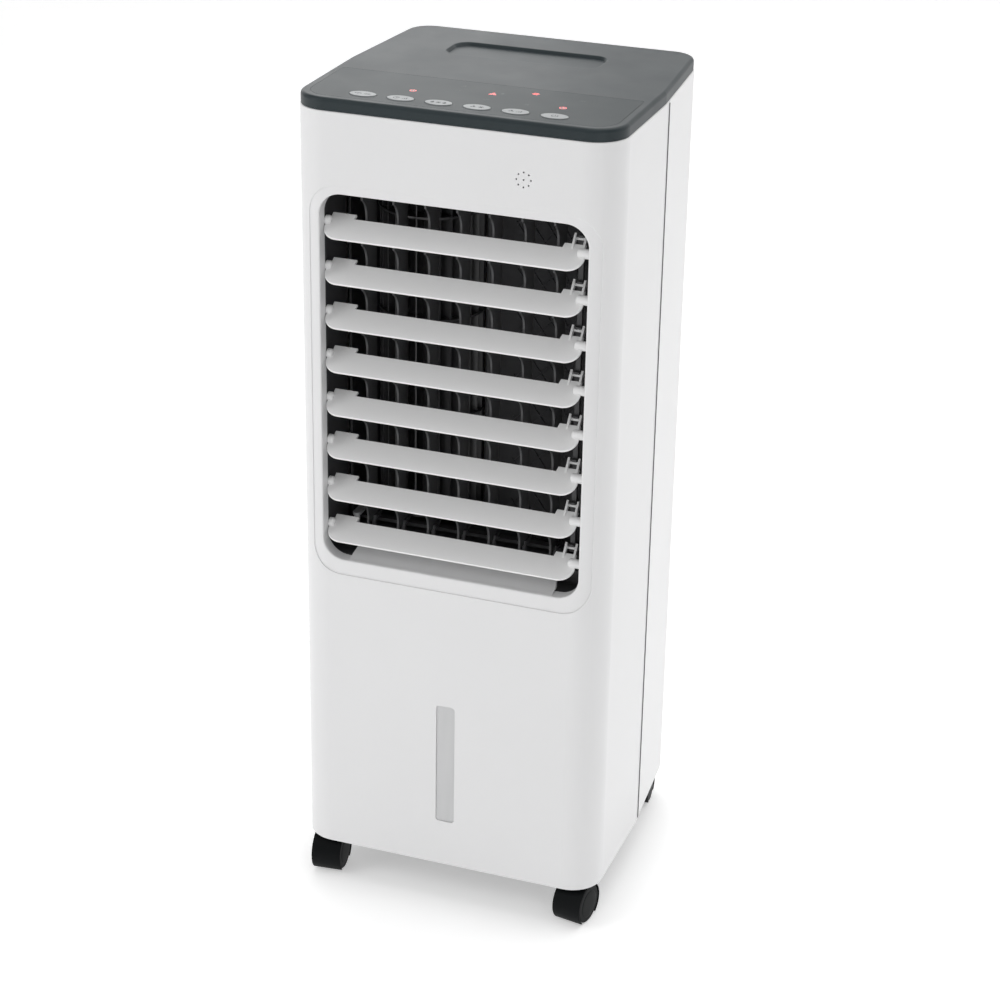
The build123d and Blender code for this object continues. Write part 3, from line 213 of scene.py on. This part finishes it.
def mesh_finish():
    """Woven nylon net: two crossing sets of threads over darker gaps."""
    finish = Finish("filter_net")
    pitch = 2 * pi / 20
    threads = []
    for axis in ("X", "Z"):
        wave = finish.add("ShaderNodeTexWave", Vector=finish.place, Scale=pitch / (1.4 * MM),
                          wave_type="BANDS", bands_direction=axis)
        threads.append(finish.spread(wave.outputs["Fac"], 0, 1, 0.45, 0.75))
    net = finish.add("ShaderNodeMath", operation="MAXIMUM")
    finish.links.new(threads[0], net.inputs[0])
    finish.links.new(threads[1], net.inputs[1])
    dust = finish.noise(12, 5, 0.6)
    gap = finish.blend(finish.spread(dust, 0, 1), (0.035, 0.026, 0.016, 1), (0.06, 0.045, 0.03, 1))
    thread = finish.blend(finish.spread(dust, 0, 1), (0.05, 0.052, 0.055, 1),
                          (0.085, 0.085, 0.088, 1))
    return finish.connect(Base_Color=finish.blend(net.outputs[0], gap, thread),
                          Roughness=finish.spread(dust, 0.5, 0.65),
                          Normal=finish.bump(net.outputs[0], 0.25 * MM, 0.9))


def paper_finish():
    """Resin-stiffened cellulose: fibres along the sheet and darker damp patches."""
    finish = Finish("cellulose_paper", Sheen_Weight=0.2)
    fibre = finish.noise(900, 5, 0.7, (1, 0.2, 1))
    damp = finish.noise(11, 4, 0.6)
    dry = finish.blend(finish.spread(fibre, 0, 1), (0.36, 0.24, 0.12, 1), (0.5, 0.35, 0.19, 1))
    base = finish.blend(finish.spread(damp, 0, 0.7, 0.45, 0.7), dry, (0.24, 0.15, 0.075, 1))
    return finish.connect(Base_Color=base, Roughness=finish.spread(damp, 0.85, 0.65),
                          Normal=finish.bump(fibre, 0.12 * MM, 0.8))


def lit_red():
    """Red light shining through the film, a little uneven."""
    finish = Finish("lit_red", Emission_Strength=0.9)
    glow = finish.noise(700, 2)
    colour = finish.blend(finish.spread(glow, 0, 1), (0.75, 0.07, 0.075, 1), (0.95, 0.16, 0.16, 1))
    return finish.connect(Base_Color=colour, Emission_Color=colour,
                          Roughness=finish.spread(glow, 0.35, 0.45))


def printed(name, colour):
    """Screen-printed ink with a slightly ragged tone."""
    finish = Finish(name)
    ragged = finish.noise(2600, 4, 0.7)
    base = finish.blend(finish.spread(ragged, 0, 1), shade(colour, 0.9), shade(colour, 1.25))
    return finish.connect(Base_Color=base, Roughness=finish.spread(ragged, 0.4, 0.6),
                          Normal=finish.bump(ragged, 0.01 * MM, 0.6))


window_grey = window_finish()
smoked = lens_finish()
board_green = board_finish()
filter_net = mesh_finish()
paper = paper_finish()
red_light = lit_red()
ink = printed("key_ink", (0.045, 0.05, 0.055))
faint_ink = printed("faint_ink", (0.06, 0.076, 0.08))

finish_of = {
    "base_pan": base_black, "base_screws": zinc, "control_board": board_green,
    "control_overlay": film, "cord_gland": rubber, "distributor_tray": inner_white,
    "dust_filter": filter_net, "fan_bush": bronze, "fan_motor": motor_steel,
    "fan_scroll": duct_black, "fan_shaft": zinc, "fan_wheel": vane_black, "front_shell": white,
    "indicator_lenses": smoked, "louvre_link": duct_black, "outlet_frame": duct_black,
    "outlet_sill": white, "pad_cassette": inner_white, "rear_grille": white, "rear_shell": white,
    "sounder": base_black, "swing_arm": inner_white, "swing_motor": motor_steel,
    "tank_latch": white, "top_cover": cover, "vane_link": vane_black, "water_hose": hose_milk,
    "water_pump": base_black, "water_tank": tank_milk, "water_window": window_grey,
    "cooling_pad": paper,
}
family_finish = {"key": key_white, "louvre": louvre_white, "vane": vane_black,
                 "caster": caster_black}

for node, thing in frame["nodes"].items():
    chosen = finish_of.get(node) or family_finish[node.split("_")[0]]
    thing.data.materials.clear()
    thing.data.materials.append(chosen)


# ---- new pieces ---------------------------------------------------------------------
def new_piece(name, mesh, finish, body):
    """A piece that rides on a body, from a finished bmesh."""
    bmesh.ops.recalc_face_normals(mesh, faces=mesh.faces)
    data = bpy.data.meshes.new(name)
    mesh.to_mesh(data)
    mesh.free()
    data.materials.append(finish)
    piece = bpy.data.objects.new(name, data)
    scene.collection.objects.link(piece)
    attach(piece, body)


# ---- printed symbols ----------------------------------------------------------------
def ring(radius, width, start=0.0, stop=360.0, steps=40):
    """Outline of an arc-shaped band, as one four-cornered loop for each step along the arc."""
    angles = [radians(start + (stop - start) * i / steps) for i in range(steps + 1)]
    outer = [((radius + width / 2) * cos(a), (radius + width / 2) * sin(a)) for a in angles]
    inner = [((radius - width / 2) * cos(a), (radius - width / 2) * sin(a)) for a in angles]
    return [[outer[i], outer[i + 1], inner[i + 1], inner[i]] for i in range(steps)]


def bar(x0, y0, x1, y1, width):
    """A straight stroke with square ends."""
    along = Vector((x1 - x0, y1 - y0)).normalized()
    side = Vector((-along.y, along.x)) * width / 2
    ends = Vector((x0, y0)), Vector((x1, y1))
    return [[tuple(ends[0] + side), tuple(ends[0] - side), tuple(ends[1] - side),
             tuple(ends[1] + side)]]


def disc(x, y, radius, steps=20):
    return [[(x + radius * cos(2 * pi * i / steps), y + radius * sin(2 * pi * i / steps))
             for i in range(steps)]]


def leaf(angle, length, width, steps=9):
    """A pointed blade from the centre outwards."""
    turn = Matrix.Rotation(radians(angle), 2)
    upper = [(length * i / steps, width / 2 * sin(pi * i / steps)) for i in range(steps + 1)]
    lower = [(x, -y) for x, y in reversed(upper[1:-1])]
    return [[tuple(turn @ Vector(point)) for point in upper + lower]]


def arrow_head(x, y, angle, size):
    turn = Matrix.Rotation(radians(angle), 2)
    corners = ((size, 0), (-size * 0.6, size * 0.8), (-size * 0.6, -size * 0.8))
    return [[tuple(turn @ Vector(c) + Vector((x, y))) for c in corners]]


def shifted(shapes, dx, dy):
    return [[(x + dx, y + dy) for x, y in loop] for loop in shapes]


def scaled(shapes, factor):
    return [[(x * factor, y * factor) for x, y in loop] for loop in shapes]


def power_symbol(size):
    return ring(size, size * 0.26, -240, 60) + bar(0, size * 0.15, 0, size * 1.25, size * 0.26)


def clock_symbol(size):
    return (ring(size, size * 0.24) + bar(0, 0, 0, size * 0.7, size * 0.22)
            + bar(0, 0, size * 0.5, 0, size * 0.22))


def fan_symbol(size):
    blades = [loop for k in range(3) for loop in leaf(90 + 120 * k, size * 1.15, size * 0.62)]
    return blades + disc(0, 0, size * 0.2)


def flake_symbol(size):
    arms = [loop for k in range(3)
            for loop in bar(-size * cos(radians(60 * k)), -size * sin(radians(60 * k)),
                            size * cos(radians(60 * k)), size * sin(radians(60 * k)), size * 0.26)]
    return arms + disc(0, 0, size * 0.42)


def swing_symbol(size):
    arc = ring(size * 1.2, size * 0.24, 35, 145)
    heads = arrow_head(-size * 1.05, size * 0.62, 235, size * 0.42)
    heads += arrow_head(size * 1.05, size * 0.62, -55, size * 0.42)
    return shifted(arc + heads, 0, -size * 0.6) + bar(0, -size * 0.7, 0, size * 0.2, size * 0.22)


def level_symbol(size):
    return [loop for k in range(3)
            for loop in bar((k - 1) * size * 0.75, -size * 0.8, (k - 1) * size * 0.75,
                            size * (0.6 * k - 0.35), size * 0.42)]


def drop_symbol(size):
    tip = [(0, size * 1.2)]
    bowl = [(size * 0.72 * cos(radians(a)), size * 0.72 * sin(radians(a)) - size * 0.3)
            for a in range(150, 391, 20)]
    return [tip + bowl]


def wave_symbol(size, rows=2):
    loops = []
    for row in range(rows):
        y = (row - (rows - 1) / 2) * size * 0.9
        for k in range(12):
            x0, x1 = (-1.3 + 2.6 * k / 12) * size, (-1.3 + 2.6 * (k + 1) / 12) * size
            y0, y1 = y + 0.22 * size * sin(5 * x0 / size), y + 0.22 * size * sin(5 * x1 / size)
            loops += bar(x0, y0, x1, y1, size * 0.24)
    return loops


PRINT_DEPTH = 0.16 * MM        # from the ink's top to its foot inside the face
PRINT_LIFT = 0.03 * MM         # the ink's top above the face
KEY_PRINT_SCALE = 1.2


def printed_piece(name, shapes, centre, top, body, finish):
    """Flat shapes in millimetres, sunk into the face that they are printed on."""
    mesh = bmesh.new()
    lift = Vector((0, 0, PRINT_DEPTH))
    for loop in shapes:
        base = [mesh.verts.new(Vector((x * MM, y * MM, 0)) + Vector(centre)
                               + Vector((0, 0, top)) - lift) for x, y in loop]
        face = mesh.faces.new(base)
        made = bmesh.ops.extrude_face_region(mesh, geom=[face])
        for vertex in (v for v in made["geom"] if isinstance(v, bmesh.types.BMVert)):
            vertex.co += lift
    new_piece(name, mesh, finish, body)


key_symbols = [
    shifted(swing_symbol(1.9), -3.4, 0) + shifted(wave_symbol(1.7), 3.2, 0),
    shifted(clock_symbol(1.9), -3.0, 0) + shifted(level_symbol(1.7), 3.0, 0),
    shifted(drop_symbol(1.8), -4.2, 0) + shifted(flake_symbol(1.8), 0, 0)
    + shifted(drop_symbol(1.8), 4.2, 0),
    shifted(fan_symbol(2.0), -2.6, 0) + shifted(flake_symbol(1.9), 2.8, 0),
    shifted(fan_symbol(2.0), -3.0, 0) + shifted(level_symbol(1.8), 2.4, 0),
    power_symbol(2.1),
]

for number, shapes in enumerate(key_symbols, start=1):
    low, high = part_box(f"key_{number}")
    middle = (low + high) / 2
    printed_piece(f"key_{number}_symbol", scaled(shapes, KEY_PRINT_SCALE),
                  (middle.x, middle.y, 0), high.z + PRINT_LIFT,
                  f"key_{number}", ink)

# lit symbols over the four light pipes, in order from left to right
LENS_GAP = 3 * MM              # least clear space between two light pipes
cover_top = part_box("control_overlay")[1].z
lens_mesh = frame["nodes"]["indicator_lenses"].data
lens_points = sorted({round(v.co.x, 5) for v in lens_mesh.vertices})
lens_groups = []
for x in lens_points:
    if lens_groups and x - lens_groups[-1][-1] < LENS_GAP:
        lens_groups[-1].append(x)
    else:
        lens_groups.append([x])
lit_shapes = [power_symbol(2.5), fan_symbol(3.4), flake_symbol(3.2), clock_symbol(2.7)]
for number, (group, shapes) in enumerate(zip(lens_groups, lit_shapes), start=1):
    inside = [v.co for v in lens_mesh.vertices
              if group[0] - MM / 10 < v.co.x < group[-1] + MM / 10]
    lens_y = (min(p.y for p in inside) + max(p.y for p in inside)) / 2
    printed_piece(f"lit_symbol_{number}", shapes, ((group[0] + group[-1]) / 2, lens_y, 0),
                  cover_top + PRINT_LIFT, "casing", red_light)

# unlit symbols, which barely show through the film
unlit_places = ((-18.0, -49.6), (-17.6, -63.8), (18.5, -58.8),
                (12.2, -79.7), (45.9, -80.7), (83.6, -54.2))
unlit_shapes = [level_symbol(1.9), wave_symbol(1.7), drop_symbol(2.0), clock_symbol(1.8),
                level_symbol(1.9), swing_symbol(1.9)]
unlit = [loop for (x, y), shapes in zip(unlit_places, unlit_shapes)
         for loop in shifted(shapes, x, y)]
printed_piece("unlit_symbols", unlit, (0, 0, 0), cover_top + PRINT_LIFT, "casing",
              faint_ink)


# ---- seam strips of painted shade, sill lip and wheel caps --------------------------
def seam_shade_strip(name, side):
    """Dark strip in the joint between the two shells, just under the surface: painted shade for
    the shadow in the gap.
    """
    gap_front, gap_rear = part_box("front_shell")[1].y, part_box("rear_shell")[0].y
    low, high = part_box("front_shell")
    sunk, thick, end_gap, clear = 0.12 * MM, 1.6 * MM, 1.6 * MM, 0.05 * MM
    outer = high.x - sunk
    mesh = bmesh.new()
    bmesh.ops.create_cube(mesh, size=1)
    for vertex in mesh.verts:
        x, y, z = vertex.co
        vertex.co = (side * (outer if x > 0 else outer - thick),
                     gap_rear - clear if y > 0 else gap_front + clear,
                     high.z - end_gap if z > 0 else low.z + end_gap)
    new_piece(name, mesh, painted_seam_shade, "casing")


CAP_PROFILE = ((0.0, 0.45), (7.0, 0.4), (11.6, 0.25), (12.6, 0.1), (12.9, -0.2))
CAP_STEPS = 64


def wheel_caps(place):
    """Slightly domed cap in the outer face of each wheel: radius and lift in CAP_PROFILE."""
    node = f"caster_wheels_{place}"
    joint = next(j for j in frame["record"]["behaviour"]["joints"]
                 if j["name"] == f"{place}_roll")
    axle, centre = Vector(joint["axis"]).normalized(), Vector(joint["pos_m"])
    spread = [(v.co - centre).dot(axle) for v in frame["nodes"][node].data.vertices]
    turn = axle.to_track_quat("Z", "Y").to_matrix()
    angles = [2 * pi * i / CAP_STEPS for i in range(CAP_STEPS)]
    mesh = bmesh.new()
    for side, reach in ((1, max(spread)), (-1, min(spread))):
        base = centre + axle * reach
        tip = mesh.verts.new(base + axle * side * CAP_PROFILE[0][1] * MM)
        rows = [[mesh.verts.new(base + turn @ Vector((radius * MM * cos(a), radius * MM * sin(a),
                                                      side * lift * MM))) for a in angles]
                for radius, lift in CAP_PROFILE[1:]]
        for i in range(CAP_STEPS):
            j = (i + 1) % CAP_STEPS
            mesh.faces.new((tip, rows[0][i], rows[0][j]))
            for inner, outer in zip(rows, rows[1:]):
                mesh.faces.new((inner[i], outer[i], outer[j], inner[j]))
    for face in mesh.faces:
        face.smooth = True
    new_piece(f"wheel_caps_{place}", mesh, caster_black, f"wheels_{place}")


LIP_SKIN = 0.15 * MM           # the lip above the sill
LIP_DROP = 0.65 * MM           # the lip's front below the sill's front edge
LIP_INSET = 2.5 * MM           # the lip's front behind the casing's front
LIP_REACH = 11 * MM            # how far back it covers the sill
LIP_THICKNESS = 0.3 * MM
LIP_END = 0.1 * MM             # the lip ends short of the sill's ends


def sill_lip():
    """White lip that carries the sill over its joint and out to the edge of the opening."""
    low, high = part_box("outlet_sill")
    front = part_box("front_shell")[0].y
    slope = (high.z - low.z) / (high.y - low.y)
    start = (front + LIP_INSET, low.z - LIP_DROP)
    corner = (low.y - (LIP_DROP + LIP_SKIN) / slope, low.z - LIP_DROP)
    stop = (low.y + LIP_REACH, low.z + LIP_REACH * slope + LIP_SKIN)
    middle_x = (low.x + high.x) / 2
    front_half = (high.x - low.x) / 2
    back_half = max(abs(v.co.x - middle_x) for v in frame["nodes"]["outlet_sill"].data.vertices
                    if v.co.y > high.y - MM)
    steps = 14
    mesh = bmesh.new()
    rows = []
    for i in range(steps + 1):
        t = i / steps
        y, z = ((1 - t) ** 2 * a + 2 * t * (1 - t) * b + t * t * c
                for a, b, c in zip(start, corner, stop))
        along = min(max((y - low.y) / (high.y - low.y), 0), 1)
        half = front_half + (back_half - front_half) * along - LIP_END
        rows.append([mesh.verts.new((middle_x + side * half, y, z - fall))
                     for side, fall in ((-1, 0), (1, 0), (1, LIP_THICKNESS), (-1, LIP_THICKNESS))])
    for near, far in zip(rows, rows[1:]):
        for k in range(4):
            mesh.faces.new((near[k], near[(k + 1) % 4], far[(k + 1) % 4], far[k]))
    mesh.faces.new(rows[0])
    mesh.faces.new(rows[-1])
    new_piece("sill_lip", mesh, white, "casing")


sill_lip()
# the dark strips in the two shell joints are painted shade for the shadow in the gap
seam_shade_strip("seam_shade_strip_right", 1)
seam_shade_strip("seam_shade_strip_left", -1)
for place in ("front_left", "front_right", "rear_left", "rear_right"):
    wheel_caps(place)


# ---- cooling pad --------------------------------------------------------------------
def corrugated_pad():
    """Glued cellulose sheets: waved strips between flat ones, open from face to face."""
    low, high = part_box("cooling_pad")
    sheet, cell_height, wave_length, steps = 0.35 * MM, 7.0 * MM, 9.0 * MM, 8
    rows = int((high.z - low.z) / cell_height)
    pitch = (high.z - low.z - 2 * sheet) / rows
    waves = int((high.x - low.x) / wave_length)
    columns = waves * steps
    mesh = bmesh.new()

    def strip(points):
        front = [mesh.verts.new((x, low.y, z)) for x, z in points]
        back = [mesh.verts.new((x, high.y, z)) for x, z in points]
        for i in range(len(points) - 1):
            mesh.faces.new((front[i], front[i + 1], back[i + 1], back[i]))

    for row in range(rows + 1):
        z = low.z + sheet + row * pitch
        strip([(low.x, z), (high.x, z)])
        if row == rows:
            break
        reach = pitch / 2 - sheet
        strip([(low.x + (high.x - low.x) * i / columns,
                z + pitch / 2 + reach * cos(2 * pi * i / steps + row * pi))
               for i in range(columns + 1)])
    data = bpy.data.meshes.new("corrugated_pad")
    mesh.to_mesh(data)
    mesh.free()
    data.materials.append(paper)
    pad = bpy.data.objects.new("corrugated_pad", data)
    scene.collection.objects.link(pad)
    thick = pad.modifiers.new("sheet", "SOLIDIFY")
    thick.thickness = sheet
    thick.offset = 0
    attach(pad, "cassette")
    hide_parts("cooling_pad")


corrugated_pad()


# ---- floor, light and camera --------------------------------------------------------
FLOOR_REACH = 16.0             # half the floor's width, and its length to the front
WALL_START = 2.6               # where the floor begins to curve up
WALL_CURVE = 1.2               # radius of that curve
WALL_TOP = 6.0


def backdrop():
    """Pale floor that curves up into a wall behind."""
    mesh = bmesh.new()
    profile = [(-FLOOR_REACH, 0.0), (WALL_START, 0.0)]
    profile += [(WALL_START + WALL_CURVE * sin(radians(a)), WALL_CURVE * (1 - cos(radians(a))))
                for a in range(10, 91, 10)]
    profile += [(WALL_START + WALL_CURVE, WALL_TOP)]
    rows = [[mesh.verts.new((x, y, z)) for y, z in profile] for x in (-FLOOR_REACH, FLOOR_REACH)]
    for i in range(len(profile) - 1):
        face = mesh.faces.new((rows[0][i], rows[1][i], rows[1][i + 1], rows[0][i + 1]))
        face.smooth = True
    data = bpy.data.meshes.new("studio_floor")
    mesh.to_mesh(data)
    mesh.free()
    finish = Finish("studio_paper", Roughness=0.9, Emission_Strength=0.37)
    finish.shader.inputs["Emission Color"].default_value = (1, 1, 1, 1)
    cloud = finish.noise(3, 2)
    finish.connect(Base_Color=finish.blend(finish.spread(cloud, 0, 1), (0.93, 0.93, 0.93, 1),
                                           (0.95, 0.95, 0.95, 1)))
    data.materials.append(finish.material)
    floor = bpy.data.objects.new("studio_floor", data)
    scene.collection.objects.link(floor)


def softbox(name, place, aim, width, height, power):
    data = bpy.data.lights.new(name, "AREA")
    data.shape = "RECTANGLE"
    data.size = width
    data.size_y = height
    data.energy = power
    light = bpy.data.objects.new(name, data)
    light.location = place
    light.rotation_euler = (Vector(aim) - Vector(place)).to_track_quat("-Z", "Y").to_euler()
    scene.collection.objects.link(light)


backdrop()
middle = (0, 0, 0.38)
# name, place, aim, width, height, power
for lamp in (
    ("left_key", (-1.9, -1.7, 1.5), middle, 1.3, 2.6, 16.5),
    ("front_top", (0.2, -2.0, 2.4), middle, 1.8, 1.0, 5.5),
    ("overhead", (0.3, 0.5, 2.6), middle, 2.4, 2.4, 26),
    ("rear_left", (-1.0, 1.4, 1.35), (-0.1, 0.1, 0.72), 1.2, 0.8, 3.2),
    ("left_edge", (-2.2, -0.3, 0.9), middle, 0.8, 2.2, 1.5),
    ("right_front", (1.5, -1.9, 1.0), middle, 0.5, 2.2, 3.4),
):
    softbox(*lamp)

world = bpy.data.worlds.new("studio")
world.use_nodes = True
sky = world.node_tree.nodes["Background"]
sky.inputs["Color"].default_value = (1, 1, 1, 1)
sky.inputs["Strength"].default_value = 0.34
scene.world = world
scene.view_settings.view_transform = "Standard"

CAMERA_PLACE = (0.685, -1.922, 1.276)
azimuth, elevation, roll = radians(19.58), radians(24.65), radians(1.02)
back = Vector((sin(azimuth) * cos(elevation), -cos(azimuth) * cos(elevation), sin(elevation)))
right = Vector((cos(azimuth), sin(azimuth), 0))
up = back.cross(right)
level_right = cos(roll) * right + sin(roll) * up
level_up = -sin(roll) * right + cos(roll) * up

lens = bpy.data.cameras.new("camera")
lens.lens = 91.94
lens.sensor_width = 36
camera = bpy.data.objects.new("camera", lens)
camera.matrix_world = Matrix.Translation(CAMERA_PLACE) @ Matrix(
    (level_right, level_up, back)).transposed().to_4x4()
scene.collection.objects.link(camera)
scene.camera = camera
